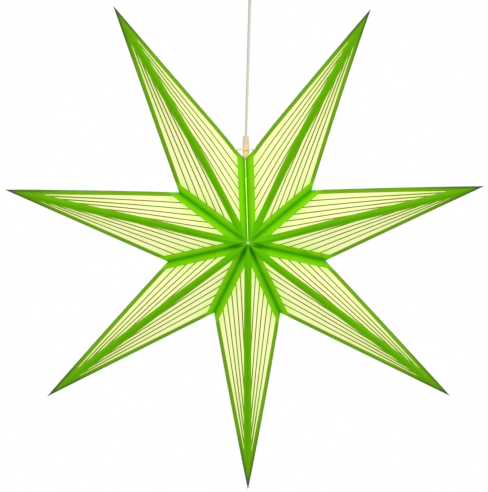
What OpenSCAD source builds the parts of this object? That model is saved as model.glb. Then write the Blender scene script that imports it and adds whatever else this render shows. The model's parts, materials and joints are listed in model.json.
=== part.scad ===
// A seven-pointed paper star lantern, hung on its lamp cord from a ceiling cup.
// Front towards -Y, +Z up, origin on the ceiling above the cord.

/* [Star] */
// Distance from the star's axis to its valley corners
valley_r = 102; // [95:1:110]
// Distance from the star's axis to its tips
tip_r = 320; // [300:1:340]
// Distance from the middle plane to the front and back hubs
hub_depth = 65; // [55:1:75]
// Thickness of the green card
card_t = 0.6; // [0.4:0.1:1]
// Thickness of the pale lining paper
lining_t = 0.4; // [0.3:0.1:0.8]
// Width of the glued flap behind each valley
flap_w = 9; // [5:1:12]
// Width of the hole where the points' ends meet at the hub
hub_hole_d = 4; // [3.6:0.2:5]

/* [Slits] */
// Slits in each face of a point
slits = 6; // [4:1:8]
// Plain card along the ridge, on each side of its fold
ridge_band = 6.6; // [4:0.2:9]
// Plain card along the outer edge
border_band = 6.4; // [4:0.2:9]
// Plain card along the valley
valley_band = 10; // [7:0.5:14]
// Width of the card strips between the slits
strip_w = 1.3; // [0.8:0.1:2]

/* [Open seam] */
// Width of the open seam at the top corner
seam_top = 1.1; // [0.8:0.1:2.4]
// Width of the open seam at the hub
seam_hub = 0.5; // [0.4:0.1:0.8]

/* [Hanging] */
// From the ceiling down to the star's axis
drop = 372; // [368:1:376]
// How far the star's axis hangs to the left of the ceiling cup
star_shift = 6; // [4:0.5:8]
// How far the lampholder sits to the right of the star's axis
holder_shift = 1; // [0:0.5:2]
// Diameter of the tie wire
wire_d = 2; // [1.4:0.1:2.2]
// Height of the tie wire above the top corner
wire_rise = 12; // [10:0.5:15]
// Length of the wire's bent ends inside the top points
wire_end = 7; // [4:0.5:10]

/* [Cord grip] */
// Height of the grip's top above the tie wire
grip_rise = 16.5; // [14:0.5:20]
// Outer diameter of the grip's head
grip_d = 7.4; // [7:0.1:9]
// Outer diameter of the grip's stem
stem_d = 6.4; // [6.2:0.1:6.8]

/* [Lampholder] */
// Outer diameter of the lampholder
holder_d = 27; // [25:0.5:29]
// Height of the lampholder's top above the star's axis
holder_top = 77; // [75:0.5:79]
// Height of the cap
cap_h = 24; // [20:1:28]
// Height of the lampholder's open end above the star's axis
holder_bottom = 26; // [22:1:30]
// Wall of the cap and the skirt
holder_wall = 1.7; // [1.4:0.1:2.2]
// Inside diameter of the screw shell
shell_bore = 14.2; // [14:0.1:14.6]
// Sheet thickness of the screw shell and the contact
shell_t = 0.6; // [0.4:0.1:0.8]

/* [Bulb] */
// Diameter of the glass globe
globe_d = 45; // [40:1:50]
// Height of the globe's middle above the star's axis
globe_z = -9; // [-14:1:-4]
// Diameter of the screw cap
bulb_cap_d = 13.8; // [13.4:0.1:13.9]

/* [Ceiling fitting] */
// Diameter of the cup at the ceiling
cup_d = 76; // [70:1:90]
// Diameter of the cup's lower end
cup_end_d = 56; // [50:1:66]
// Height of the cup
cup_h = 50; // [46:1:52]
// Wall of the cup
cup_t = 2; // [1.6:0.1:2.6]
// Distance between the two ceiling screws
screw_pitch = 44; // [40:1:48]
// Diameter of the screw holes in the ceiling bar
screw_hole_d = 4.4; // [4:0.1:5]

/* [Cord] */
// Width of the flat cord
cord_w = 5.2; // [5:0.1:5.3]
// Thickness of the flat cord
cord_t = 3.1; // [2.9:0.1:3.4]

/* [Hidden] */
$fn = 64;

// Clearance between pieces that seat in each other
fit = 0.3;
// How far a cutting shape runs past what it cuts
past = 2;

// The seven points, clockwise from the one right of the top, as the folded star hangs:
// how far each valley corner and each tip is turned from even spacing, and how much further out it is
step = 360 / 7;
valley_turn = [0, 2.3, 2.5, 0.4, -2.8, -3.2, -3.2, 0];
valley_more = [-1, 1.5, 3, 1.5, -1, -0.5, 0, -1];
tip_turn = [2.9, 0.6, -0.9, -0.6, 0.2, -1, -3.7];
tip_more = [9, -11, 9, -1, -1, -12, 16];
// The point from which the strips fan out, past the tip and across the ridge
fan = [-19, -11];
// How far a strip runs into the plain card, and how much thinner than the card its cut leaves it
strip_hold = 1;
strip_press = 0.1;

// The tie wire's height above the star's axis, how far its ends reach past the top points' folded
// edges, the radius of its ring in the cord grip's groove, and how far behind it the grip stands
wire_z = valley_r + valley_more[0] + wire_rise;
wire_bite = 3.6;
ring_r = stem_d / 2 + fit / 2 + wire_d / 2;
grip_back = ring_r + wire_d / 4;
grip_top = wire_z + grip_rise;
// The cord grip's foot, which holds it up in the lampholder's cap
foot_r = 5;
foot_h = 2;
// The cap's domed part, the skirt's collar, the core and its rivet
dome_h = 14;
collar_h = 6;
core_r = 9.8;
rivet_r = 1.2;
shell_top = 50;
// The grip at the cup, its nut and its clamp screw
grip_stem_r = 4.9;
grip_low = 61;
nut_h = 3.6;
clamp_r = 1.5;
clamp_h = 4;
// The straight upper part of the cup, and the screws through it
cup_straight = 14;
cup_screw_z = 7;
cup_screw_r = 1.5;
// The ceiling bar
bar_w = 14;
bar_t = 1.6;
bar_ear = 12;
// The terminal block, and where its screws are
block = [18, 11, 14];
terminal_r = 1.8;
terminal_places = [-4.5, 4.5];
terminal_rows = [4, 10];
terminal_screw_h = 3.4;
// The slot across a screw's head
slot_w = 0.6;
slot_h = 0.8;

// The cord's lower end above the star's axis, its upper end and the cup grip's foot below the ceiling,
// how far it is twisted on the way up, and the number of its steps
cord_low = 57;
cord_high = 15.6;
cord_in_cup = 62;
cord_twist = 30;
cord_steps = 16;

front_hub = [0, -hub_depth, 0];
back_hub = [0, hub_depth, 0];

function unit(v) = v / norm(v);
function polar(r, turn) = [r * sin(turn), 0, r * cos(turn)];
function valley_at(i) = i * step + valley_turn[i];
function valley(i) = polar(valley_r + valley_more[i], valley_at(i));
function tip(i) = polar(tip_r + tip_more[i], (i + 0.5) * step + tip_turn[i]);

// The x and z for which two flat equations a.x * x + a.z * z = value hold
function solve(a, b, p, q) =
    let (d = a.x * b.y - a.y * b.x)
    [(p * b.y - q * a.y) / d, (q * a.x - p * b.x) / d];
function flat(v) = [v.x, v.z];

// The tip of the hollow that is left when the four faces are as thick as depth
function inner_tip(i, depth) =
    let (t = tip(i),
         left = unit(cross(valley(i) - t, front_hub - t)),
         right = unit(cross(front_hub - t, valley(i + 1) - t)),
         move = solve(flat(left), flat(right), -depth, -depth))
    t + [move.x, 0, move.y];

// The closed form of one point: four faces, and two flat sides along the valleys
module wedge(t, front, right, back, left) {
    polyhedron(
        points = [t, front, right, back, left],
        faces = [[0, 2, 1], [0, 1, 4], [0, 4, 3], [0, 3, 2], [1, 2, 3], [1, 3, 4]]);
}

module point_form(i) {
    wedge(tip(i), front_hub, valley(i + 1), back_hub, valley(i));
}

// The space inside faces of the given thickness, run out through both valley sides
module point_hollow(i, depth) {
    t = tip(i);
    inner = inner_tip(i, depth);
    longer = 1.5;
    wedge(inner,
          inner + longer * (front_hub - t), inner + longer * (valley(i + 1) - t),
          inner + longer * (back_hub - t), inner + longer * (valley(i) - t));
}

// The space between two valley planes, each moved in by its own inset
module sector(i, inset_left, inset_right) {
    left = valley_at(i);
    right = valley_at(i + 1);
    far = 3 * tip_r;
    apex = solve([cos(left), -sin(left)], [-cos(right), sin(right)], inset_left, inset_right);
    rotate([90, 0, 0])
        linear_extrude(height = 4 * hub_depth, center = true)
            polygon([
                apex,
                apex + far * [sin(left), cos(left)],
                apex + far * [sin((left + right) / 2), cos((left + right) / 2)],
                apex + far * [sin(right), cos(right)]
            ]);
}

// The opening that leaves a flap along both slopes of the valley plane
module flap_opening(i) {
    corner_r = norm(valley(i));
    scale_in = 1 - flap_w * norm([corner_r, hub_depth]) / (corner_r * hub_depth);
    r = corner_r * scale_in;
    y = hub_depth * scale_in;
    rotate([0, valley_at(i), 0])
        rotate([90, 0, 90])
            linear_extrude(height = 2 * (card_t + past), center = true)
                polygon([[-y, -3 * past], [-y, 0], [0, r], [y, 0], [y, -3 * past]]);
}

// The point where two lines meet, each given by a point and a direction
function area(a, b) = a.x * b.y - a.y * b.x;
function meet(p, along_p, q, along_q) = p + along_p * area(q - p, along_q) / area(along_p, along_q);

// The corners of one face's window, laid flat with the tip at the origin and the ridge along x,
// and with its bands of plain card made narrower by less
function window(ridge, corner, less = 0) =
    let (out = unit(corner),
         down = unit(corner - [ridge, 0]),
         fold_at = [0, ridge_band - less],
         border_at = (border_band - less) * [out.y, -out.x],
         inner_at = [ridge, 0] + (valley_band - less) * [-down.y, down.x])
    [meet(fold_at, [1, 0], border_at, out), meet(fold_at, [1, 0], inner_at, down),
     meet(border_at, out, inner_at, down)];

// The strips of card that divide the window into slits, fanning out from past the tip
module strips(ridge, corner) {
    w = window(ridge, corner);
    intersection() {
        polygon(window(ridge, corner, strip_hold));
        for (k = [1 : slits - 1]) {
            end = w[1] + (w[2] - w[1]) * k / slits;
            along = unit(end - fan);
            side = strip_w / 2 * [-along.y, along.x];
            last = end + past * along;
            polygon([fan + side, fan - side, last - side, last + side]);
        }
    }
}

// Lays a flat pattern on one face: its tip at t, its ridge towards hub and its width towards corner
module on_face(t, hub, corner) {
    along = unit(hub - t);
    reach = (corner - t) * along;
    across = unit(corner - t - reach * along);
    up = cross(along, across);
    multmatrix([
        [along.x, across.x, up.x, t.x],
        [along.y, across.y, up.y, t.y],
        [along.z, across.z, up.z, t.z]])
        children();
}

// Each of a point's four faces: its tip, its hub and its valley corner
function faces_of(i) = [
    for (hub = [front_hub, back_hub], corner = [valley(i), valley(i + 1)]) [tip(i), hub, corner]
];
function ridge_of(f) = norm(f[1] - f[0]);
function corner_of(f) =
    let (along = unit(f[1] - f[0]), reach = (f[2] - f[0]) * along)
    [reach, norm(f[2] - f[0] - reach * along)];

// Cuts every window of a point through the card
module windows(i) {
    for (f = faces_of(i))
        on_face(f[0], f[1], f[2])
            linear_extrude(height = 4 * card_t, center = true)
                polygon(window(ridge_of(f), corner_of(f)));
}

// Every strip of a point, in the middle of the card's thickness
module all_strips(i) {
    for (f = faces_of(i))
        on_face(f[0], f[1], f[2]) {
            outward = sign(cross(f[1] - f[0], f[2] - f[0]) * f[0]);
            translate([0, 0, -outward * card_t / 2])
                linear_extrude(height = card_t - strip_press, center = true)
                    strips(ridge_of(f), corner_of(f));
        }
}

// What both layers of the two top points leave free: the open seam, the cord grip and the tie wire
module top_cuts() {
    rotate([90, 0, 0])
        linear_extrude(height = 4 * hub_depth, center = true)
            polygon([
                [-seam_hub / 2, -past], [seam_hub / 2, -past],
                [seam_top / 2, valley_r + past], [-seam_top / 2, valley_r + past]
            ]);
    translate([holder_shift, grip_back, holder_top])
        cylinder(d = stem_d + 2 * fit, h = wire_z - holder_top);
    translate([0, 0, wire_z])
        rotate([0, 90, 0])
            cylinder(d = wire_d + fit, h = 2 * wire_to(0) + 2 * wire_d, center = true);
}

// How far from the seam the wire's end is, inside the top point i whose corner at the seam is valley i + side
function wire_to(i, side = 0) =
    let (corner = valley(i + side), along = tip(i) - corner)
    abs(along.x) * (wire_z - corner.z) / along.z + wire_bite;

module hub_hole() {
    rotate([90, 0, 0])
        cylinder(d = hub_hole_d, h = 4 * hub_depth, center = true);
}

// Puts the star where it hangs
module hang() {
    translate([-star_shift, 0, -drop]) children();
}

function seam_on_left(i) = i == 0;
function seam_on_right(i) = i == 6;

// One folded and slit card point, with a glue flap behind each valley but the open seam
module cut_point(i) {
    color([0.42, 0.75, 0.04])
        hang() {
            difference() {
                point_form(i);
                intersection() {
                    point_hollow(i, card_t);
                    sector(i, seam_on_left(i) ? -past : card_t, seam_on_right(i) ? -past : card_t);
                }
                flap_opening(i);
                flap_opening(i + 1);
                windows(i);
                hub_hole();
                if (seam_on_left(i) || seam_on_right(i)) top_cuts();
            }
            all_strips(i);
        }
}

// The folded lining that lies against the inside of a point's four faces
module lining(i) {
    color([0.97, 1, 0.75])
        hang()
            difference() {
                intersection() {
                    point_hollow(i, card_t);
                    sector(i, seam_on_left(i) ? 0 : card_t, seam_on_right(i) ? 0 : card_t);
                }
                point_hollow(i, card_t + lining_t);
                hub_hole();
                if (seam_on_left(i) || seam_on_right(i)) top_cuts();
            }
}

// Puts a piece of the lamp on the cord grip's own line, behind the tie wire
module on_line() {
    hang() translate([holder_shift, grip_back, 0]) children();
}

// The flat cord's outline, its width along y
module cord_outline(extra = 0) {
    round_r = cord_t / 2 + extra / 2;
    for (side = [-1, 1])
        translate([0, side * (cord_w - cord_t) / 2]) circle(r = round_r);
    square([2 * round_r, cord_w - cord_t], center = true);
}

// The wire that ties the two top points together and carries the star on the cord grip
module tie_wire() {
    left = -wire_to(6, 1);
    right = wire_to(0);
    color([0.82, 0.79, 0.74])
        hang()
            translate([0, 0, wire_z]) {
                translate([holder_shift, grip_back, 0])
                    rotate_extrude() translate([ring_r, 0]) circle(d = wire_d);
                translate([left, 0, 0]) rotate([0, 90, 0]) cylinder(d = wire_d, h = right - left);
                for (end = [left, right]) {
                    translate([end, 0, 0]) sphere(d = wire_d);
                    translate([end, 0, -wire_end]) cylinder(d = wire_d, h = wire_end);
                }
            }
}

// The sleeve that the cord leaves the lampholder through
module cord_grip() {
    stem_r = stem_d / 2;
    head_r = grip_d / 2;
    waist_r = (stem_r + head_r) / 2 - 0.1;
    groove = wire_d / 2 + fit / 2;
    lip = 1.4;
    foot_top = holder_top - holder_wall;
    color([0.93, 0.82, 0.66])
        on_line()
            difference() {
                rotate_extrude()
                    polygon([
                        [0, foot_top - foot_h], [foot_r, foot_top - foot_h], [foot_r, foot_top],
                        [stem_r, foot_top],
                        [stem_r, wire_z - groove - lip], [head_r, wire_z - groove - lip / 2],
                        [head_r, wire_z - groove], [stem_r, wire_z - groove],
                        [stem_r, wire_z + groove], [head_r, wire_z + groove],
                        [head_r, wire_z + groove + lip], [waist_r, wire_z + groove + 3 * lip],
                        [waist_r, wire_z + groove + 4 * lip], [head_r, wire_z + groove + 7 * lip],
                        [head_r, grip_top - lip / 2], [head_r - lip / 2, grip_top], [0, grip_top]
                    ]);
                translate([0, 0, foot_top - foot_h - past])
                    linear_extrude(height = grip_top)
                        cord_outline(fit);
            }
}

// The outline of the cap's dome, at a given distance inside its outer skin
function dome(inset) = [
    for (a = [0 : 15 : 90])
        [foot_r + (holder_d / 2 - foot_r - inset) * cos(a),
         holder_top - dome_h + (dome_h - inset) * sin(a)]
];

// The lampholder's domed cap, which screws on to the skirt
module holder_cap() {
    r = holder_d / 2;
    low = holder_top - cap_h;
    color([0.92, 0.9, 0.85])
        on_line()
            difference() {
                rotate_extrude()
                    polygon(concat([[0, low], [r, low]], dome(0), [[0, holder_top]]));
                rotate_extrude()
                    polygon(concat(
                        [[0, low - past], [r - holder_wall, low - past]],
                        dome(holder_wall),
                        [[0, holder_top - holder_wall]]));
                translate([0, 0, low])
                    cylinder(d = stem_d + fit / 2, h = cap_h + past);
            }
}

// The lampholder's skirt, with the collar that carries the cap and the core
module holder_skirt() {
    r = holder_d / 2;
    joint = holder_top - cap_h;
    collar_r = r - holder_wall - fit / 2;
    color([0.92, 0.9, 0.85])
        on_line()
            rotate_extrude()
                polygon([
                    [r - 1, holder_bottom], [r, holder_bottom + 1], [r, joint],
                    [collar_r, joint], [collar_r, joint + collar_h],
                    [core_r + fit / 2, joint + collar_h], [core_r + fit / 2, joint - past],
                    [r - holder_wall, joint - 2 * past], [r - holder_wall, holder_bottom]
                ]);
}

// The core inside the lampholder, with its terminal well above and its shell socket below
module holder_core() {
    joint = holder_top - cap_h;
    seat = joint + collar_h;
    socket_r = shell_bore / 2 + shell_t + fit / 6;
    color([0.86, 0.84, 0.8])
        on_line()
            difference() {
                rotate_extrude()
                    polygon([
                        [0, holder_bottom + 4], [core_r, holder_bottom + 4], [core_r, seat],
                        [core_r + 1.4, seat], [core_r + 1.4, seat + 2], [0, seat + 2]
                    ]);
                translate([0, 0, holder_bottom]) cylinder(r = socket_r, h = shell_top - holder_bottom);
                translate([0, 0, shell_top + 5]) cylinder(r = socket_r - 1, h = seat);
                translate([0, 0, shell_top - past]) cylinder(r = rivet_r + fit / 6, h = cap_h);
            }
}

// The brass shell that the bulb screws into
module screw_shell() {
    color([0.85, 0.68, 0.3])
        on_line()
            difference() {
                translate([0, 0, holder_bottom + 4.5])
                    cylinder(d = shell_bore + 2 * shell_t, h = shell_top - holder_bottom - 4.5);
                translate([0, 0, holder_bottom])
                    cylinder(d = shell_bore, h = 2 * shell_top);
            }
}

// The contact that the bulb's tip touches, riveted through the core
module centre_contact() {
    color([0.85, 0.68, 0.3])
        on_line()
            rotate_extrude()
                polygon([
                    [0, shell_top - shell_t], [3, shell_top - shell_t], [3, shell_top],
                    [rivet_r, shell_top], [rivet_r, shell_top + 5], [rivet_r + 1, shell_top + 5],
                    [rivet_r + 0.6, shell_top + 6], [0, shell_top + 6]
                ]);
}

// The sealed bulb: screw cap, neck and opal globe
module bulb() {
    cap_r = bulb_cap_d / 2;
    globe_r = globe_d / 2;
    tip_z = shell_top - shell_t - fit / 2;
    color([0.98, 0.97, 0.92])
        on_line()
            rotate_extrude()
                polygon(concat(
                    [[0, tip_z], [2.4, tip_z], [3.4, tip_z - 1.6], [cap_r - 1.2, tip_z - 2.6],
                     [cap_r, tip_z - 4], [cap_r, holder_bottom + 1], [cap_r + 1.4, holder_bottom - 1],
                     [cap_r + 1.8, holder_bottom - 6]],
                    [for (a = [32 : 8 : 176]) [globe_r * sin(a), globe_z + globe_r * cos(a)]],
                    [[0, globe_z - globe_r]]));
}

// The cord: one ring of corners for each point of its route, turned as the cord twists
module cord() {
    leaves_grip = grip_top - drop;
    levels = concat(
        [cord_low - drop],
        [for (k = [0 : cord_steps]) leaves_grip - (leaves_grip + cord_in_cup) * k / cord_steps],
        [-cord_high]
    );
    n = len(levels);
    sides = 8;
    edge = [
        [cord_t * 0.22, cord_w / 2], [-cord_t * 0.22, cord_w / 2],
        [-cord_t / 2, cord_w * 0.3], [-cord_t / 2, -cord_w * 0.3],
        [-cord_t * 0.22, -cord_w / 2], [cord_t * 0.22, -cord_w / 2],
        [cord_t / 2, -cord_w * 0.3], [cord_t / 2, cord_w * 0.3]
    ];
    corners = [
        for (z = levels, c = edge)
            let (aside = min(1, max(0, (z + cord_in_cup) / (leaves_grip + cord_in_cup))),
                 turn = (1 - aside) * cord_twist,
                 x = aside * (holder_shift - star_shift),
                 y = aside * grip_back)
            [x + c.x * cos(turn) - c.y * sin(turn), y + c.x * sin(turn) + c.y * cos(turn), z]
    ];
    walls = [
        for (k = [0 : n - 2], j = [0 : sides - 1])
            let (a = k * sides + j, b = k * sides + (j + 1) % sides)
            each [[a, b + sides, b], [a, a + sides, b + sides]]
    ];
    bottom = [for (j = [0 : sides - 1]) j];
    top = [for (j = [sides - 1 : -1 : 0]) (n - 1) * sides + j];
    color([0.8, 0.76, 0.7])
        polyhedron(points = corners, faces = concat(walls, [bottom, top]));
}

// The grip that carries the cord at the bottom of the cup
module cup_grip() {
    color([0.95, 0.95, 0.93])
        difference() {
            rotate_extrude()
                polygon([
                    [0, -cup_h + cup_t + nut_h + 1.5], [grip_stem_r, -cup_h + cup_t + nut_h + 1.5],
                    [grip_stem_r, -cup_h], [grip_stem_r + 2.6, -cup_h],
                    [grip_stem_r + 2.6, -cup_h - 2.4], [grip_stem_r + 1, -cup_h - 3.4],
                    [grip_stem_r + 1, -cup_h - 8], [grip_stem_r - 0.8, -grip_low], [0, -grip_low]
                ]);
            translate([0, 0, -grip_low - past])
                cylinder(d = cord_w + fit, h = 2 * grip_low);
            translate([0, 0, -cup_h - 5.8])
                rotate([90, 0, 0])
                    cylinder(r = clamp_r + fit / 6, h = 2 * grip_stem_r);
        }
}

// The nut that holds the grip in the cup
module cup_grip_nut() {
    color([0.95, 0.95, 0.93])
        translate([0, 0, -cup_h + cup_t])
            difference() {
                cylinder(r = grip_stem_r + 3.4, h = nut_h, $fn = 6);
                translate([0, 0, -past]) cylinder(r = grip_stem_r + fit / 6, h = nut_h + 2 * past);
            }
}

// The screw in the grip's side that clamps the cord
module cup_grip_screw() {
    color([0.75, 0.75, 0.76])
        translate([0, 0, -cup_h - 5.8])
            rotate([90, 0, 0])
                difference() {
                    translate([0, 0, cord_w / 2 + fit / 6]) cylinder(r = clamp_r, h = clamp_h);
                    translate([-clamp_r, -slot_w / 2, cord_w / 2 + fit / 6 + clamp_h - slot_h])
                        cube([2 * clamp_r, slot_w, past]);
                }
}

// The outline of the cup's wall, at a given distance inside its outer skin
function cup_curve(inset) =
    let (rise = cup_h - cup_straight, run = (cup_d - cup_end_d) / 2)
    [for (a = [0 : 15 : 90])
        [cup_end_d / 2 - inset + run * cos(a), -cup_straight - (rise - inset) * sin(a)]];

// The cup that covers the ceiling joint
module ceiling_cup() {
    r = cup_d / 2;
    color([0.96, 0.96, 0.94])
        difference() {
            rotate_extrude()
                polygon(concat([[0, -cup_h], [0, -fit], [r, -fit]], cup_curve(0)));
            rotate_extrude()
                polygon(concat(
                    [[0, -cup_h + cup_t], [0, past], [r - cup_t, past]],
                    cup_curve(cup_t)));
            translate([0, 0, -cup_h - past]) cylinder(r = grip_stem_r + fit / 3, h = 3 * past);
            translate([0, 0, -cup_screw_z])
                rotate([0, 90, 0])
                    cylinder(r = cup_screw_r + fit / 2, h = 2 * cup_d, center = true);
        }
}

// The two screws through the cup into the bar's ears
module cup_screws() {
    color([0.75, 0.75, 0.76])
        for (side = [0, 180])
            rotate([0, 0, side])
                translate([cup_d / 2 - cup_t - 2 * bar_t, 0, -cup_screw_z])
                    rotate([0, 90, 0]) {
                        cylinder(r = cup_screw_r, h = cup_t + 2 * bar_t + 0.5);
                        translate([0, 0, cup_t + 2 * bar_t + fit / 2])
                            cylinder(r1 = 2 * cup_screw_r, r2 = 1.4 * cup_screw_r, h = 1.6);
                    }
}

// The steel bar that is screwed to the ceiling, with an ear at each end for the cup
module ceiling_bar() {
    half = sqrt(pow(cup_d / 2 - cup_t - fit, 2) - pow(bar_w / 2, 2));
    color([0.7, 0.71, 0.72])
        difference() {
            union() {
                translate([-half, -bar_w / 2, -bar_t]) cube([2 * half, bar_w, bar_t]);
                for (side = [-1, 1])
                    translate([side * (half - bar_t / 2), 0, -bar_ear / 2])
                        cube([bar_t, bar_w, bar_ear], center = true);
            }
            for (side = [-1, 1])
                translate([side * screw_pitch / 2, 0, -bar_t - past])
                    cylinder(d = screw_hole_d, h = bar_t + 2 * past);
            translate([0, 0, -cup_screw_z])
                rotate([0, 90, 0])
                    cylinder(r = cup_screw_r + fit / 6, h = 2 * cup_d, center = true);
        }
}

// The terminal block under the bar, where the cord's two cores end
module terminal_block() {
    color([0.93, 0.93, 0.9])
        translate([0, 0, -bar_t - block.z])
            difference() {
                translate([-block.x / 2, -block.y / 2, 0]) cube(block);
                for (x = terminal_places, z = terminal_rows)
                    translate([x, -block.y / 2 - past, z])
                        rotate([-90, 0, 0]) cylinder(r = terminal_r + fit / 2, h = block.y / 2 + past);
            }
}

// The four screws of the terminal block
module terminal_screws() {
    color([0.75, 0.75, 0.76])
        translate([0, 0, -bar_t - block.z])
            for (x = terminal_places, z = terminal_rows)
                translate([x, 0, z])
                    rotate([90, 0, 0])
                        difference() {
                            cylinder(r = terminal_r, h = terminal_screw_h);
                            translate([-terminal_r, -slot_w / 2, terminal_screw_h - slot_h])
                                cube([2 * terminal_r, slot_w, past]);
                        }
}

cut_point(0);  // star_point_upper_right
cut_point(1);  // star_point_right
cut_point(2);  // star_point_lower_right
cut_point(3);  // star_point_bottom
cut_point(4);  // star_point_lower_left
cut_point(5);  // star_point_left
cut_point(6);  // star_point_upper_left
lining(0);  // lining_upper_right
lining(1);  // lining_right
lining(2);  // lining_lower_right
lining(3);  // lining_bottom
lining(4);  // lining_lower_left
lining(5);  // lining_left
lining(6);  // lining_upper_left
tie_wire();
cord_grip();
holder_cap();
holder_skirt();
holder_core();
screw_shell();
centre_contact();
bulb();
cord();
cup_grip();
cup_grip_nut();
cup_grip_screw();
ceiling_cup();
cup_screws();
ceiling_bar();
terminal_block();
terminal_screws();
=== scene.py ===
# Paper star lantern, lit, hanging on its cord from a ceiling cup
import json
import math

import bmesh
import bpy
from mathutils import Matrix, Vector

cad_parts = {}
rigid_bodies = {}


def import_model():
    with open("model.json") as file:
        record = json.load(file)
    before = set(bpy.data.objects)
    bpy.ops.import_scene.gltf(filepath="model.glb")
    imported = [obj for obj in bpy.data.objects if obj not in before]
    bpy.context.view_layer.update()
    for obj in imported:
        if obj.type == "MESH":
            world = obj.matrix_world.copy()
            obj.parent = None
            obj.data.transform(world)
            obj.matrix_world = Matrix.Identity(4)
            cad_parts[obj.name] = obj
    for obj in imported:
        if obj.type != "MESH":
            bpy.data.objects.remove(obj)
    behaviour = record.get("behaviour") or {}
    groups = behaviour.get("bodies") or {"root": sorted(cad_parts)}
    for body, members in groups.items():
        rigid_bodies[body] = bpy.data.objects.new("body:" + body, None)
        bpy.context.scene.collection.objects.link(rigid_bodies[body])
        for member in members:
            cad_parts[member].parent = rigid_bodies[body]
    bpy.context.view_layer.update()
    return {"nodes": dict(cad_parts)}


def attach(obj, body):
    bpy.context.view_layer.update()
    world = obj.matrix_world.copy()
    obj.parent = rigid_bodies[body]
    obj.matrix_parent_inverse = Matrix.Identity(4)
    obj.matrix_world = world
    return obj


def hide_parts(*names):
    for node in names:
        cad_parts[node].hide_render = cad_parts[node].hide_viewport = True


bpy.ops.object.select_all(action="SELECT")
bpy.ops.object.delete()

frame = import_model()
nodes = frame["nodes"]
bpy.ops.object.select_all(action="DESELECT")
print("frame loaded:", len(nodes), "nodes")

mm = 0.001
mergeGap = 0.005 * mm

# The star as it hangs, in mm and degrees: seven points, clockwise from the one right of the top
star = {
    "axis": Vector((-6, 0, -372)),
    "valleyRadius": 102,
    "tipRadius": 320,
    "hubDepth": 65,
    "points": ["upper_right", "right", "lower_right", "bottom", "lower_left", "left", "upper_left"],
    # how far each valley and each tip is turned and set out from its even place
    "valleyTurn": [0, 2.3, 2.5, 0.4, -2.8, -3.2, -3.2, 0],
    "valleyMore": [-1, 1.5, 3, 1.5, -1, -0.5, 0, -1],
    "tipTurn": [2.9, 0.6, -0.9, -0.6, 0.2, -1, -3.7],
    "tipMore": [9, -11, 9, -1, -1, -12, 16],
}
evenStep = 360 / len(star["points"])


def polar(radius, turn):
    angle = math.radians(turn)
    return Vector((radius * math.sin(angle), 0, radius * math.cos(angle)))


def valleyCorner(index):
    radius = star["valleyRadius"] + star["valleyMore"][index]
    return polar(radius, index * evenStep + star["valleyTurn"][index])


def pointTip(index):
    radius = star["tipRadius"] + star["tipMore"][index]
    return polar(radius, (index + 0.5) * evenStep + star["tipTurn"][index])


# Camera: a long lens a little to the left of the star and above its middle
camera = {
    "azimuth": -3.0,
    "elevation": 4.9,
    "distance": 3.5,  # m
    "mmPerPixel": 1.258,
    "pictureSize": (488, 492),
    "axisPixel": (245.3, 239.0),  # where the star's axis crosses its middle plane
    "clip": (0.1, 60),  # m
}


def makeCamera():
    azimuth = math.radians(camera["azimuth"])
    elevation = math.radians(camera["elevation"])
    back = Vector((
        math.sin(azimuth) * math.cos(elevation),
        -math.cos(azimuth) * math.cos(elevation),
        math.sin(elevation),
    ))
    right = Vector((math.cos(azimuth), math.sin(azimuth), 0))
    up = back.cross(right)
    width, height = camera["pictureSize"]
    scale = camera["mmPerPixel"] * mm
    pixelX, pixelY = camera["axisPixel"]
    aside, above = (pixelX - width / 2) * scale, (height / 2 - pixelY) * scale
    aim = star["axis"] * mm - right * aside - up * above
    bpy.ops.object.camera_add(location=aim + back * camera["distance"])
    cameraObject = bpy.context.object
    cameraObject.name = "camera"
    cameraObject.rotation_euler = (-back).to_track_quat("-Z", "Y").to_euler()
    data = cameraObject.data
    data.lens = data.sensor_width * camera["distance"] / (max(width, height) * scale)
    data.clip_start, data.clip_end = camera["clip"]
    bpy.context.scene.camera = cameraObject


makeCamera()
print("camera placed")


# Materials: small helpers for their node trees
def srgb(red, green, blue):
    channels = []
    for level in (red / 255, green / 255, blue / 255):
        channels.append(level / 12.92 if level <= 0.04045 else ((level + 0.055) / 1.055) ** 2.4)
    return (*channels, 1)


def feed(tree, socket, value):
    if isinstance(value, bpy.types.NodeSocket):
        tree.links.new(value, socket)
    else:
        socket.default_value = value


def addNode(tree, kind, settings, inputs):
    node = tree.nodes.new("ShaderNode" + kind)
    for name, value in settings.items():
        setattr(node, name, value)
    for name, value in inputs.items():
        feed(tree, node.inputs[name], value)
    return node


def calc(tree, operation, *values):
    return addNode(tree, "Math", {"operation": operation}, dict(enumerate(values))).outputs[0]


def fade(tree, value, start, stop, low=0.0, high=1.0):
    settings = {"interpolation_type": "SMOOTHSTEP"}
    inputs = {"Value": value, "From Min": start, "From Max": stop, "To Min": low, "To Max": high}
    return addNode(tree, "MapRange", settings, inputs).outputs["Result"]


def ramp(tree, value, stops):
    # stops are (place, colour), from the lowest place to the highest
    low, high = stops[0][0], stops[-1][0]
    inputs = {"Value": value, "From Min": low, "From Max": high}
    share = addNode(tree, "MapRange", {}, inputs).outputs["Result"]
    node = addNode(tree, "ValToRGB", {}, {"Fac": share})
    elements = node.color_ramp.elements
    elements[0].color = stops[0][1]
    elements[1].color = stops[-1][1]
    for place, colour in stops[1:-1]:
        elements.new((place - low) / (high - low)).color = colour
    return node.outputs["Color"]


def mixColour(tree, share, first, second, blend="MIX"):
    settings = {"data_type": "RGBA", "blend_type": blend}
    return addNode(tree, "Mix", settings, {0: share, 6: first, 7: second}).outputs[2]


def noise(tree, place, size, detail):
    # size is the width of a blot in mm
    inputs = {"Vector": place, "Scale": 1 / (size * mm), "Detail": detail}
    return addNode(tree, "TexNoise", {}, inputs).outputs["Fac"]


def objectPlace(tree):
    return addNode(tree, "TexCoord", {}, {}).outputs["Object"]


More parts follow.
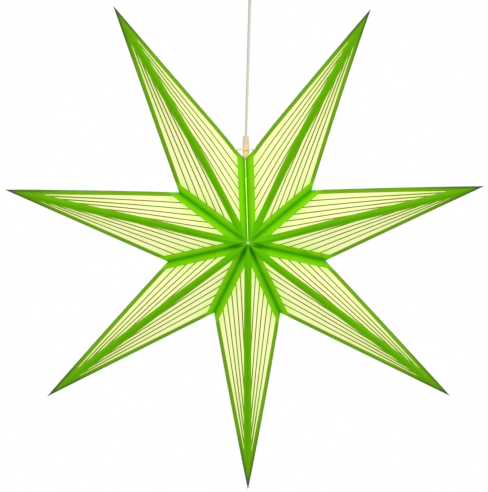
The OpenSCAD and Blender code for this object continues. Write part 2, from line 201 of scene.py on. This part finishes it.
def scaled(tree, colour, level):
    inputs = {0: colour, "Scale": level}
    return addNode(tree, "VectorMath", {"operation": "SCALE"}, inputs).outputs[0]


def bump(tree, height, depth):
    # depth is in mm
    inputs = {"Strength": 1.0, "Distance": depth * mm, "Height": height}
    return addNode(tree, "Bump", {}, inputs).outputs[0]


def newMaterial(name, sockets):
    material = bpy.data.materials.new(name)
    material.use_nodes = True
    tree = material.node_tree
    shader = tree.nodes["Principled BSDF"]
    for socket, value in sockets.items():
        shader.inputs[socket].default_value = value
    return material, tree, shader


def dress(piece, material):
    for slot in piece.material_slots:
        slot.material = material
    if not piece.material_slots:
        piece.data.materials.append(material)


# Distances on a folded face, measured from its fold lines
def lineTerms(start, end, inside):
    flat = Vector((end.z - start.z, 0, start.x - end.x))
    reach = (inside - start).dot(flat)
    onFace = (inside - start).cross(end - start).length / (end - start).length
    normal = flat * (onFace / reach)
    return normal, -start.dot(normal)


def distance(tree, place, lines, pick):
    found = []
    for normal, offset in lines:
        dot = addNode(tree, "VectorMath", {"operation": "DOT_PRODUCT"}, {0: place, 1: normal})
        found.append(calc(tree, "ADD", dot.outputs["Value"], offset))
    return calc(tree, pick, *found)


def foldLines(index):
    # the ridge, the valleys and the outer edges of a point, each as a line that its faces share
    tip = pointTip(index)
    hub = Vector((0, -star["hubDepth"], 0))
    corners = [valleyCorner(index), valleyCorner(index + 1)]
    return {
        "ridge": [lineTerms(hub, tip, corner) for corner in corners],
        "valley": [lineTerms(hub, corner, tip) for corner in corners],
        "border": [lineTerms(corner, tip, hub) for corner in corners],
    }


def faceDistances(tree, index):
    # in mm, from the fold lines of the point's own faces, from the hub and from the tip
    lines = foldLines(index)
    place = addNode(tree, "Attribute", {"attribute_name": "unbent"}, {}).outputs["Vector"]
    flattened = addNode(tree, "VectorMath", {"operation": "MULTIPLY"}, {0: place, 1: (1, 0, 1)})
    flat = flattened.outputs[0]
    hubGap = addNode(tree, "VectorMath", {"operation": "LENGTH"}, {0: flat})
    tipGap = addNode(tree, "VectorMath", {"operation": "DISTANCE"}, {0: flat, 1: pointTip(index)})
    gap = {
        "ridge": distance(tree, place, lines["ridge"], "MAXIMUM"),
        "valley": distance(tree, place, lines["valley"], "MINIMUM"),
        "valleys": [distance(tree, place, [line], "ABSOLUTE") for line in lines["valley"]],
        "border": distance(tree, place, lines["border"], "MINIMUM"),
        "hub": hubGap.outputs["Value"],
        "tip": tipGap.outputs["Value"],
        "place": place,
    }
    # the open seam lies beside the first and the last point only
    seamSide = {0: 0, len(star["points"]) - 1: 1}.get(index)
    gap["seam"] = None if seamSide is None else gap["valleys"][seamSide]
    return gap


# Green card: one sheet for each point. Widths and spans are in mm, and colours are screen
# colours. A span of four numbers also says from what share to what share it goes
card = {
    "ridgeBand": 6.6,
    "borderBand": 6.4,
    "valleyBand": 10,
    "bandEdge": (-0.2, 0.4),  # how softly a band ends at the slits
    # painted shade: along the valleys the card darkens towards the fold, and more so near the hub
    "valleyNearHub": [
        (0, srgb(26, 110, 0)), (2, srgb(44, 132, 1)), (5, srgb(80, 172, 3)), (9, srgb(96, 182, 4)),
    ],
    "valleyAlong": [
        (0, srgb(62, 158, 0)), (1.2, srgb(70, 168, 0)), (3.5, srgb(102, 192, 2)),
        (6, srgb(122, 205, 4)), (9, srgb(128, 206, 6)),
    ],
    # painted shade and light: the ridge is darker at its fold, and painted lighter near the hub
    "ridgeNearHub": [(0, srgb(98, 190, 1)), (6, srgb(82, 182, 1))],
    "ridgeAlong": [(0, srgb(92, 168, 0)), (2, srgb(94, 169, 0)), (6, srgb(108, 176, 10))],
    "hubShade": (11, 34),  # where the valleys' shade at the hub fades
    "hubShadeLean": (-0.1, 0.6, 1, 0.15),  # it is full in the valleys that point down
    "hubRidge": (16, 64),  # where the ridges' painted lighter green at the hub fades
    "ridgeBlend": (-3, 5),  # where valley colours turn to ridge colours
    # painted shade: the border darkens towards the outer fold
    "border": [(0, srgb(98, 150, 12)), (1.5, srgb(108, 160, 20)), (6, srgb(114, 166, 24))],
    "borderOuter": srgb(64, 116, 6),  # painted shade: the darker rim towards the tips
    "borderOuterAlong": (24, 100, 1, 0),
    "borderOuterAcross": (1.5, 5, 1, 0.3),
    "borderBlend": (-1.5, 3),  # how softly the border's colour ends
    "borderStarts": (6, 14),  # how far from a valley the border's own colour starts
    "seamBorder": (6, 14, 0.75, 0),  # the border's colour runs on to the open seam
    "seamBorderEdge": (1, 6, 1, 0),
    "seamShade": (0.4, 3.2, 0.8, 1),  # the card is a little darker at the seam
    # painted shade: the tips are grey and dark, as the bulb's light does not come through them
    "tip": srgb(74, 84, 62),
    "tipBlend": (5, 20, 1, 0),
    # painted shade: the strips between the slits show dark, unlit against the lit lining; blots
    # turn them at random from olive to green
    "strip": srgb(138, 122, 48),
    "stripGreen": srgb(128, 156, 42),
    "stripOuter": srgb(116, 132, 32),
    "stripBlots": 40,
    "stripBlend": (0.3, 0.72),
    "stripOuterFrom": (190, 290),  # from the hub
    "ray": srgb(176, 228, 92),
    "rayShare": [0.3, 0.65, 1, 0.5, 0.45, 1, 0.7, 0.3],  # each valley's ray at the hub
    "rayWidth": (0.2, 1.1, 1, 0),
    "rayLength": (1.5, 6, 12),  # where a ray starts, its least reach, and the reach of its share
    "fibres": (1.2, 6, 0.14, 0.05),  # blot size, detail, strength, bump depth
    "cloud": (22, 2, 0.2),  # blot size, detail, strength
    "level": 0.83,
    "stripUnlit": 0.6,  # how much less the strips glow than the bands
    "glow": 0.4,
    "reflect": 0.72,
}


def windowMask(tree, gap):
    inner, outer = card["bandEdge"]
    bands = [("ridge", "ridgeBand"), ("border", "borderBand"), ("valley", "valleyBand")]
    inside = [fade(tree, gap[line], card[band] + inner, card[band] + outer) for line, band in bands]
    return calc(tree, "MINIMUM", inside[0], calc(tree, "MINIMUM", inside[1], inside[2]))


def bandColour(tree, gap):
    # the card along the valleys and the ridge, with painted shade in the folds and at the hub, and
    # the ridges painted lighter at the hub
    height = addNode(tree, "SeparateXYZ", {}, {0: gap["place"]}).outputs["Z"]
    lean = fade(tree, calc(tree, "DIVIDE", height, gap["hub"]), *card["hubShadeLean"])
    nearHub = calc(tree, "MULTIPLY", fade(tree, gap["hub"], *card["hubShade"], 1, 0), lean)
    valley = mixColour(tree, nearHub, ramp(tree, gap["valley"], card["valleyAlong"]),
                       ramp(tree, gap["valley"], card["valleyNearHub"]))
    nearHub = fade(tree, gap["hub"], *card["hubRidge"], 1, 0)
    ridge = mixColour(tree, nearHub, ramp(tree, gap["ridge"], card["ridgeAlong"]),
                      ramp(tree, gap["ridge"], card["ridgeNearHub"]))
    toRidge = fade(tree, calc(tree, "SUBTRACT", gap["valley"], gap["ridge"]), *card["ridgeBlend"])
    return mixColour(tree, toRidge, valley, ridge)


# the border band, with painted shade at the outer fold, on the rim towards the tips and at the tips
def borderOver(tree, gap, colour):
    inner, outer = card["borderBlend"]
    band = card["borderBand"]
    share = fade(tree, gap["border"], band + inner, band + outer, 1, 0)
    share = calc(tree, "MULTIPLY", share, fade(tree, gap["valley"], *card["borderStarts"]))
    if gap["seam"] is not None:
        atSeam = fade(tree, gap["seam"], *card["seamBorder"])
        edge = fade(tree, gap["border"], *card["seamBorderEdge"])
        share = calc(tree, "MAXIMUM", share, calc(tree, "MULTIPLY", atSeam, edge))
    border = ramp(tree, gap["border"], card["border"])
    outward = calc(tree, "MULTIPLY", fade(tree, gap["tip"], *card["borderOuterAlong"]),
                   fade(tree, gap["border"], *card["borderOuterAcross"]))
    border = mixColour(tree, outward, border, card["borderOuter"])
    colour = mixColour(tree, share, colour, border)
    return mixColour(tree, fade(tree, gap["tip"], *card["tipBlend"]), colour, card["tip"])


# the strips in the slits, painted dark as they stand unlit against the lit lining
def stripColour(tree, gap, place):
    blots = fade(tree, noise(tree, place, card["stripBlots"], 1), *card["stripBlend"])
    strip = mixColour(tree, blots, card["strip"], card["stripGreen"])
    outside = fade(tree, gap["hub"], *card["stripOuterFrom"])
    return mixColour(tree, outside, strip, card["stripOuter"])


def raysOver(tree, gap, colour, index):
    # light that comes out of the hub along the valleys
    start, least, more = card["rayLength"]
    for side in (0, 1):
        share = card["rayShare"][index + side]
        along = fade(tree, gap["hub"], start, least + more * share, share, 0)
        across = fade(tree, gap["valleys"][side], *card["rayWidth"])
        colour = mixColour(tree, calc(tree, "MULTIPLY", across, along), colour, card["ray"])
    return colour


def cardMaterial(index):
    sockets = {"Roughness": 0.85, "Specular IOR Level": 0.04, "Emission Strength": card["glow"]}
    material, tree, shader = newMaterial("greenCard" + str(index), sockets)
    gap = faceDistances(tree, index)
    place = objectPlace(tree)
    inWindow = windowMask(tree, gap)
    colour = borderOver(tree, gap, bandColour(tree, gap))
    colour = mixColour(tree, inWindow, colour, stripColour(tree, gap, place))
    colour = raysOver(tree, gap, colour, index)
    fibreSize, fibreDetail, fibreShare, fibreDepth = card["fibres"]
    cloudSize, cloudDetail, cloudShare = card["cloud"]
    fibres = noise(tree, place, fibreSize, fibreDetail)
    cloud = noise(tree, place, cloudSize, cloudDetail)
    level = calc(tree, "ADD", calc(tree, "MULTIPLY", fibres, fibreShare),
                 calc(tree, "MULTIPLY", cloud, cloudShare))
    level = calc(tree, "ADD", level, card["level"])
    if gap["seam"] is not None:
        level = calc(tree, "MULTIPLY", level, fade(tree, gap["seam"], *card["seamShade"]))
    shaded = scaled(tree, colour, level)
    lit = calc(tree, "SUBTRACT", 1, calc(tree, "MULTIPLY", inWindow, card["stripUnlit"]))
    feed(tree, shader.inputs["Base Color"], scaled(tree, shaded, card["reflect"]))
    feed(tree, shader.inputs["Emission Color"], scaled(tree, shaded, lit))
    feed(tree, shader.inputs["Normal"], bump(tree, fibres, fibreDepth))
    return material


# Lining paper: pale, and lit from behind by the bulb, which is painted as its glow, greener at the
# valleys and dimmer towards the tips. Spans are in mm
lining = {
    "atValley": srgb(228, 255, 151),
    "middle": srgb(247, 255, 183),
    "outer": srgb(215, 246, 139),
    "valleyBlend": (8, 26),
    "outerBlend": (140, 300),
    "cloud": (16, 4, 0.08),  # blot size, detail, strength
    "fibres": (0.9, 5, 0.04),  # blot size, detail, bump depth
    "level": 0.96,
    "glow": 0.7,
    "reflect": 0.38,
}


def liningMaterial(index):
    sockets = {"Roughness": 0.9, "Specular IOR Level": 0.03, "Emission Strength": lining["glow"]}
    material, tree, shader = newMaterial("liningPaper" + str(index), sockets)
    gap = faceDistances(tree, index)
    place = objectPlace(tree)
    fromValley = fade(tree, gap["valley"], *lining["valleyBlend"])
    outward = fade(tree, gap["hub"], *lining["outerBlend"])
    colour = mixColour(tree, fromValley, lining["atValley"], lining["middle"])
    colour = mixColour(tree, outward, colour, lining["outer"])
    cloudSize, cloudDetail, cloudShare = lining["cloud"]
    fibreSize, fibreDetail, fibreDepth = lining["fibres"]
    cloud = calc(tree, "MULTIPLY", noise(tree, place, cloudSize, cloudDetail), cloudShare)
    shaded = scaled(tree, colour, calc(tree, "ADD", cloud, lining["level"]))
    feed(tree, shader.inputs["Base Color"], scaled(tree, shaded, lining["reflect"]))
    feed(tree, shader.inputs["Emission Color"], shaded)
    fibres = noise(tree, place, fibreSize, fibreDetail)
    feed(tree, shader.inputs["Normal"], bump(tree, fibres, fibreDepth))
    return material


# The paper's own bends, in mm, clockwise: how far each ridge is off its straight line at set
# shares of the way from the hub to the tip, and how far each point's two outer edges bow
bends = {
    "cuts": 14,
    "shares": [0, 0.1, 0.4, 0.7, 1],
    "ridge": [
        [0, -1.7, -3.3, -2.4, 0], [0, 2.2, 0.9, 1.1, 0], [0, 2.6, 1.4, 0.3, 0],
        [0, -0.2, 0.5, 0.5, 0], [0, -0.8, 0, 0.3, 0], [0, -2.5, -1.3, -1.9, 0], [0, 2, 2.7, 1.2, 0],
    ],
    "edges": [
        (-0.9, -1.1), (-0.7, -0.2), (-0.6, 0.1), (-1.3, 0.8), (0.1, 0.9), (0, 0.8), (-0.2, -0.2),
    ],
    "edgeRound": 0.7,  # below 1, an edge bows more evenly along its length
    "hubPinch": 0.4,  # how much of the hub's hole is left open
    "hubReach": (2.4, 50),  # how far from the axis, and how deep, the hub's hole is
    "seamBand": 1.9,  # how much wider the plain card beside the open seam is
    "seamBandRise": 7,  # how far from the seam it has its full width
    "seamBandSpan": (45, 32),  # how far from the seam the widening ends, and over what length
    "seamBandTop": (140, 35),  # the same, in height above the axis
    "seamBandFoot": 25,  # the height above the axis at which it is full
    "seamPinch": (0.2, 0.45),  # how much of the seam is left open at the hub and at the top
    "seamReach": 0.7,  # how far from the middle the seam's own edges stand
    "smoothAngle": 12,  # degrees
}


def clamp(value):
    return min(1, max(0, value))


def ease(value):
    return value * value * (3 - 2 * value)


def ridgeBend(index, share):
    shares, values = bends["shares"], bends["ridge"][index]
    for k in range(len(shares) - 1):
        if share <= shares[k + 1]:
            part = ease(max(0, (share - shares[k]) / (shares[k + 1] - shares[k])))
            return values[k] + (values[k + 1] - values[k]) * part
    return 0


def sideBend(index, place):
    tip = pointTip(index)
    along = tip.normalized()
    aside = Vector((along.z, 0, -along.x))
    reach, off = place.dot(along), place.dot(aside)
    side = 1 if off > 0 else 0
    corner = valleyCorner(index + side)
    cornerReach, cornerOff = corner.dot(along), abs(corner.dot(aside))
    beyond = (reach - cornerReach) / (tip.length - cornerReach)
    width = cornerOff * (reach / cornerReach if beyond < 0 else 1 - beyond)
    across = min(1, abs(off) / max(width, 0.001))
    bow = math.sin(math.pi * clamp(beyond)) ** bends["edgeRound"]
    edge = bends["edges"][index][side] * bow
    return aside * (ridgeBend(index, reach / tip.length) * (1 - across) + edge * across)


def seamBend(place):
    # the plain band beside the seam is wider, and the seam springs nearly shut
    off = abs(place.x)
    outside, fall = bends["seamBandSpan"]
    top, topFall = bends["seamBandTop"]
    band = clamp(off / bends["seamBandRise"]) * clamp((outside - off) / fall)
    height = clamp((top - place.z) / topFall) * clamp(place.z / bends["seamBandFoot"])
    low, high = bends["seamPinch"]
    left = low + (high - low) * clamp(place.z / star["valleyRadius"])
    shut = off * (1 - left) if off < bends["seamReach"] else 0
    return Vector((math.copysign(bends["seamBand"] * band * height - shut, place.x), 0, 0))


def bentPlace(index, place):
    moved = place + sideBend(index, place)
    if index in (0, len(star["points"]) - 1):
        moved += seamBend(place)
    hub = Vector((0, math.copysign(star["hubDepth"], place.y), 0))
    aside, deep = bends["hubReach"]
    if math.hypot(place.x, place.z) < aside and abs(place.y) > deep:
        moved = hub + (moved - hub) * bends["hubPinch"]
    return moved


def standIn(piece, nodeName):
    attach(piece, "root")
    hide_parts(nodeName)


def smooth(angle):
    bpy.ops.object.shade_smooth_by_angle(angle=math.radians(angle))


def mergedCopy(nodeName, pieceName, planes):
    # a copy of a CAD node that stands in for it, cut along planes and left in object mode
    mesh = nodes[nodeName].data.copy()
    mesh.name = pieceName
    piece = bpy.data.objects.new(pieceName, mesh)
    bpy.context.collection.objects.link(piece)
    bpy.ops.object.select_all(action="DESELECT")
    bpy.context.view_layer.objects.active = piece
    piece.select_set(True)
    bpy.ops.object.mode_set(mode="EDIT")
    bpy.ops.mesh.select_all(action="SELECT")
    bpy.ops.mesh.remove_doubles(threshold=mergeGap)
    for place, normal in planes:
        bpy.ops.mesh.select_all(action="SELECT")
        bpy.ops.mesh.bisect(plane_co=place * mm, plane_no=normal)
    bpy.ops.object.mode_set(mode="OBJECT")
    standIn(piece, nodeName)
    return piece


def makeSheet(nodeName, pieceName, index):
    # cut across at even steps, so that it can bend, and each vertex remembers its unbent place
    tip, cuts = pointTip(index), bends["cuts"]
    planes = [(star["axis"] + tip * k / cuts, tip.normalized()) for k in range(1, cuts)]
    sheet = mergedCopy(nodeName, pieceName, planes)
    mesh = sheet.data
    unbent = mesh.attributes.new("unbent", "FLOAT_VECTOR", "POINT")
    for vertex in mesh.vertices:
        place = vertex.co / mm - star["axis"]
        unbent.data[vertex.index].vector = place
        vertex.co = (bentPlace(index, place) + star["axis"]) * mm
    smooth(bends["smoothAngle"])
    return sheet


for pointIndex, pointName in enumerate(star["points"]):
    nodeName, pieceName = "star_point_" + pointName, "folded_card_" + pointName
    dress(makeSheet(nodeName, pieceName, pointIndex), cardMaterial(pointIndex))
    nodeName, pieceName = "lining_" + pointName, "folded_lining_" + pointName
    dress(makeSheet(nodeName, pieceName, pointIndex), liningMaterial(pointIndex))
print("star folded and dressed")

# Cord grip, in mm: its profile gives the outer radius at heights above the star's axis
grip = {
    "line": (-5, 4.85),  # where the grip's own line stands, in x and y
    "from": 101,
    "rings": 14,
    "outside": 3.05,  # what lies nearer the line belongs to the bore
    "profile": [
        (100, 3.2), (106, 3.9), (110.5, 4.15), (112, 3.95), (114, 3.9), (115.5, 4.15),
        (120, 4), (125, 3.85), (127.5, 3.55), (128.6, 3.3), (129.5, 3.1),
    ],
    "smoothAngle": 40,  # degrees
}


def gripReach(height):
    profile = grip["profile"]
    for (low, first), (high, second) in zip(profile, profile[1:]):
        if height <= high:
            return first + (second - first) * ease(max(0, (height - low) / (high - low)))
    return profile[-1][1]


def makeGrip():
    low, high, rings = grip["from"], grip["profile"][-1][0], grip["rings"]
    heights = [low + (high - low) * (k + 0.5) / rings for k in range(rings)]
    planes = [(star["axis"] + Vector((0, 0, height)), (0, 0, 1)) for height in heights]
    piece = mergedCopy("cord_grip", "moulded_grip", planes)
    lineX, lineY = grip["line"]
    for vertex in piece.data.vertices:
        height = vertex.co.z / mm - star["axis"].z
        offX, offY = vertex.co.x / mm - lineX, vertex.co.y / mm - lineY
        reach = math.hypot(offX, offY)
        if height > grip["from"] and reach > grip["outside"]:
            scale = gripReach(height) / reach
            vertex.co.x = (lineX + offX * scale) * mm
            vertex.co.y = (lineY + offY * scale) * mm
    smooth(grip["smoothAngle"])
    return piece


mouldedGrip = makeGrip()
print("cord grip shaped")


# Moulded plastics, wire, brass and glass
def plainMaterial(name, colour, grain, sockets):
    # grain is (blot size in mm, how strong it shows, bump depth in mm)
    material, tree, shader = newMaterial(name, sockets)
    size, strength, depth = grain
    pattern = noise(tree, objectPlace(tree), size, 4)
    shades = mixColour(tree, pattern, srgb(96, 96, 96), srgb(160, 160, 160))
    feed(tree, shader.inputs["Base Color"], mixColour(tree, strength, colour, shades, "OVERLAY"))
    feed(tree, shader.inputs["Normal"], bump(tree, pattern, depth))
    return material


# Screen colour, grain and shader sockets of each finish
finishes = {
    "wire": (srgb(242, 228, 196), (2, 0.15, 0.01), {"Roughness": 0.45, "Metallic": 0.1}),
    "brass": (srgb(214, 178, 92), (1.5, 0.3, 0.02), {"Roughness": 0.32, "Metallic": 1.0}),
    "cordPvc": (srgb(228, 217, 211), (2, 0.2, 0.02), {"Roughness": 0.5}),
    "cupPlastic": (srgb(244, 243, 239), (5, 0.12, 0.02), {"Roughness": 0.35}),
    "steel": (srgb(184, 186, 189), (1.2, 0.4, 0.02), {"Roughness": 0.38, "Metallic": 1.0}),
}
made = {name: plainMaterial(name, *finish) for name, finish in finishes.items()}


def glassMaterial():
    sockets = {
        "Base Color": srgb(250, 246, 236),
        "Roughness": 0.25,
        "Emission Strength": 0.9,
        "Emission Color": srgb(206, 246, 112),
    }
    return newMaterial("opalGlass", sockets)[0]


made["opalGlass"] = glassMaterial()

# Plastics that the bulb lights, with heights in mm above the star's axis: from start on they are
# outside the card, and the light ends at stop
litGreen = srgb(196, 240, 104)
litPlastics = {
    "gripPlastic": {
        "shade": srgb(232, 208, 190),
        "outside": srgb(242, 208, 142),
        "start": 106,
        "stop": 126,
        "glow": 0.25,
    },
    "holderPlastic": {
        "shade": srgb(240, 236, 222),
        "outside": litGreen,
        "start": 94,
        "stop": 112,
        "glow": 0.8,
    },
}
# Their grain: blot size and bump depth in mm
litGrain = {"size": 3, "detail": 4, "strength": 0.1, "level": 0.95, "depth": 0.02}
enclosedReach = (18, 3)  # how far below start the green inside the star begins to fade, and ends


def litPlastic(name, finish):
    sockets = {"Roughness": 0.42, "Emission Strength": finish["glow"]}
    material, tree, shader = newMaterial(name, sockets)
    place = objectPlace(tree)
    height = addNode(tree, "SeparateXYZ", {}, {0: place}).outputs["Z"]
    low, high = ((star["axis"].z + finish[edge]) * mm for edge in ("start", "stop"))
    fadeLow, fadeHigh = (low - reach * mm for reach in enclosedReach)
    enclosed = fade(tree, height, fadeLow, fadeHigh, 1, 0)
    warm = mixColour(tree, enclosed, finish["outside"], litGreen)
    lit = fade(tree, height, low, high, 1, 0)
    pattern = noise(tree, place, litGrain["size"], litGrain["detail"])
    grained = calc(tree, "MULTIPLY", pattern, litGrain["strength"])
    level = calc(tree, "ADD", grained, litGrain["level"])
    shaded = scaled(tree, mixColour(tree, lit, finish["shade"], warm), level)
    feed(tree, shader.inputs["Base Color"], shaded)
    feed(tree, shader.inputs["Emission Color"], mixColour(tree, lit, (0, 0, 0, 1), warm))
    feed(tree, shader.inputs["Normal"], bump(tree, pattern, litGrain["depth"]))
    return material


for plasticName, plasticFinish in litPlastics.items():
    made[plasticName] = litPlastic(plasticName, plasticFinish)

# Ceiling cup, in mm: turned in one piece, with a rounded lower side
cup = {
    "radius": 38,
    "endRadius": 28,
    "height": 50,
    "straight": 14,
    "wall": 2,
    "hole": 5,
    "topGap": 0.3,
    "sides": 96,
    "steps": 14,
    "smoothAngle": 30,  # degrees
}


def cupCurve(inset):
    run, rise = cup["radius"] - cup["endRadius"], cup["height"] - cup["straight"]
    corners = []
    for k in range(cup["steps"] + 1):
        angle = math.radians(90 * k / cup["steps"])
        radius = cup["endRadius"] - inset + run * math.cos(angle)
        corners.append((radius, -cup["straight"] - (rise - inset) * math.sin(angle)))
    return corners


def cupProfile():
    rim = [(cup["radius"], -cup["topGap"]), (cup["radius"] - cup["wall"], -cup["topGap"])]
    hole = [(cup["hole"], -cup["height"] + cup["wall"]), (cup["hole"], -cup["height"])]
    return hole[1:] + cupCurve(0)[::-1] + rim + cupCurve(cup["wall"]) + hole


def makeCup():
    # a ring that is drawn on and widened or narrowed, step by step, along the profile
    profile = cupProfile()
    radius, height = profile[0]
    low = (0, 0, height * mm)
    bpy.ops.mesh.primitive_circle_add(vertices=cup["sides"], radius=radius * mm, location=low)
    piece = bpy.context.object
    piece.name = piece.data.name = "turned_cup"
    bpy.ops.object.transform_apply(location=True, rotation=False, scale=False)
    bpy.ops.object.mode_set(mode="EDIT")
    bpy.ops.mesh.select_all(action="SELECT")
    for nextRadius, nextHeight in profile[1:]:
        rise, growth = (nextHeight - height) * mm, nextRadius / radius
        bpy.ops.mesh.extrude_region_move(TRANSFORM_OT_translate={"value": (0, 0, rise)})
        middle = (0, 0, nextHeight * mm)
        bpy.ops.transform.resize(value=(growth, growth, 1), center_override=middle)
        radius, height = nextRadius, nextHeight
    bpy.ops.mesh.select_all(action="SELECT")
    bpy.ops.mesh.remove_doubles(threshold=mergeGap)
    bpy.ops.mesh.normals_make_consistent(inside=False)
    bpy.ops.object.mode_set(mode="OBJECT")
    smooth(cup["smoothAngle"])
    standIn(piece, "ceiling_cup")
    return piece


dress(makeCup(), made["cupPlastic"])
print("cup turned")

wearing = {
    "wire": ["tie_wire"],
    "holderPlastic": ["holder_cap", "holder_skirt", "holder_core"],
    "brass": ["screw_shell", "centre_contact"],
    "opalGlass": ["bulb"],
    "cupPlastic": ["cup_grip", "cup_grip_nut", "terminal_block"],
    "steel": ["cup_grip_screw", "cup_screws", "ceiling_bar", "terminal_screws"],
}
for finishName, worn in wearing.items():
    for wornNode in worn:
        dress(nodes[wornNode], made[finishName])
dress(mouldedGrip, made["gripPlastic"])
print("fittings dressed")

# Flat two-core cord, in mm: straight from the grip at the star to the one at the cup, with a
# slight twist on the way
cord = {
    "width": 5.2,
    "thickness": 2.9,
    "groove": 0.5,
    "sides": 32,
    "steps": 24,
    "low": (-5, 4.85, -270),
    "exit": (-5, 4.85, -242.5),
    "atCup": (0, 0, -62),
    "high": (0, 0, -15.6),
    "twist": 14,  # degrees
    "length": 255,
}


def cordRoute():
    leaves, arrives = Vector(cord["exit"]), Vector(cord["atCup"])
    route = [(Vector(cord["low"]), 0)]
    for k in range(cord["steps"] + 1):
        share = k / cord["steps"]
        route.append((leaves.lerp(arrives, share), cord["twist"] * share))
    route.append((Vector(cord["high"]), cord["twist"]))
    return route


def cordOutline():
    # two round cores side by side along y, with a shallow groove between them
    radius = cord["thickness"] / 2
    reach = cord["width"] / 2 - radius
    corners = []
    for k in range(cord["sides"]):
        angle = 2 * math.pi * k / cord["sides"]
        atSide = abs(math.sin(angle)) < 1e-6
        side = 0 if atSide else math.copysign(reach, math.sin(angle))
        x = radius * math.cos(angle)
        y = radius * math.sin(angle) + side
        dip = cord["groove"] * max(0, 1 - abs(y) / reach) ** 2
        corners.append((math.copysign(max(0, abs(x) - dip), x), y))
    return corners


def makeCord():
    mesh = bpy.data.meshes.new("cord_flex")
    piece = bpy.data.objects.new("cord_flex", mesh)
    bpy.context.collection.objects.link(piece)
    shape = bmesh.new()
    rings = []
    for middle, turn in cordRoute():
        cosine, sine = math.cos(math.radians(turn)), math.sin(math.radians(turn))
        ring = []
        for cornerX, cornerY in cordOutline():
            turnedX = cornerX * cosine - cornerY * sine
            turnedY = cornerX * sine + cornerY * cosine
            ring.append(shape.verts.new((middle + Vector((turnedX, turnedY, 0))) * mm))
        rings.append(ring)
    count = cord["sides"]
    for low, high in zip(rings, rings[1:]):
        for k in range(count):
            after = (k + 1) % count
            shape.faces.new((low[k], low[after], high[after], high[k]))
    shape.faces.new(list(reversed(rings[0])))
    shape.faces.new(rings[-1])
    shape.to_mesh(mesh)
    shape.free()
    for polygon in mesh.polygons:
        polygon.use_smooth = len(polygon.vertices) == 4
    return piece


flex = makeCord()
dress(flex, made["cordPvc"])
standIn(flex, "cord")
print("cord made")

# Studio: white all round for the camera, soft plain light for the lantern
studio = {
    "ambient": 0.52,
    "lights": [
        # name, place, size in m, watts
        ("keyLight", (0.9, -2.0, 1.7), 1.8, 44),
        ("fillLight", (-1.9, -1.8, 0.3), 1.6, 10),
        ("backLight", (0.6, 2.4, 0.9), 1.6, 22),
    ],
    "floorDrop": -3.1,
    "floorRadius": 2.6,
    "floorSides": 96,
    "floorFade": (0.35, 0.95),  # shares of the radius over which the floor turns to plain white
}


def makeWorld():
    scene = bpy.context.scene
    if scene.world is None:
        scene.world = bpy.data.worlds.new("studio")
    scene.world.use_nodes = True
    tree = scene.world.node_tree
    tree.nodes.clear()
    path = addNode(tree, "LightPath", {}, {}).outputs
    seen = calc(
        tree, "MAXIMUM", path["Is Camera Ray"],
        calc(tree, "MAXIMUM", path["Is Glossy Ray"], path["Is Transmission Ray"]),
    )
    ambient = studio["ambient"]
    level = calc(tree, "ADD", calc(tree, "MULTIPLY", seen, 1 - ambient), ambient)
    background = addNode(tree, "Background", {}, {"Color": (1, 1, 1, 1), "Strength": level})
    output = tree.nodes.new("ShaderNodeOutputWorld")
    tree.links.new(background.outputs[0], output.inputs[0])


def makeLights():
    target = star["axis"] * mm
    for name, place, size, watts in studio["lights"]:
        bpy.ops.object.light_add(type="AREA", location=place)
        light = bpy.context.object
        light.name = name
        light.data.size = size
        light.data.energy = watts
        light.rotation_euler = (target - Vector(place)).to_track_quat("-Z", "Y").to_euler()


def makeFloor():
    rim = studio["floorRadius"]
    low = (0, 0, studio["floorDrop"])
    sides = studio["floorSides"]
    bpy.ops.mesh.primitive_circle_add(vertices=sides, radius=rim, fill_type="NGON", location=low)
    floor = bpy.context.object
    floor.name = "floor"
    bpy.ops.object.transform_apply(location=True, rotation=False, scale=False)
    sockets = {"Base Color": (0.92, 0.92, 0.91, 1), "Roughness": 0.9, "Specular IOR Level": 0.1}
    material, tree, shader = newMaterial("studioFloor", sockets)
    inputs = {0: objectPlace(tree), 1: (1, 1, 0)}
    flat = addNode(tree, "VectorMath", {"operation": "MULTIPLY"}, inputs)
    reach = addNode(tree, "VectorMath", {"operation": "LENGTH"}, {0: flat.outputs[0]})
    white = addNode(tree, "Emission", {}, {"Color": (1, 1, 1, 1), "Strength": 1.0})
    share = fade(tree, reach.outputs["Value"], *(rim * part for part in studio["floorFade"]))
    blend = addNode(tree, "MixShader", {}, {0: share, 1: shader.outputs[0], 2: white.outputs[0]})
    feed(tree, tree.nodes["Material Output"].inputs["Surface"], blend.outputs[0])
    dress(floor, material)


makeWorld()
makeLights()
makeFloor()
bpy.context.scene.view_settings.view_transform = "Standard"
print("studio lit")
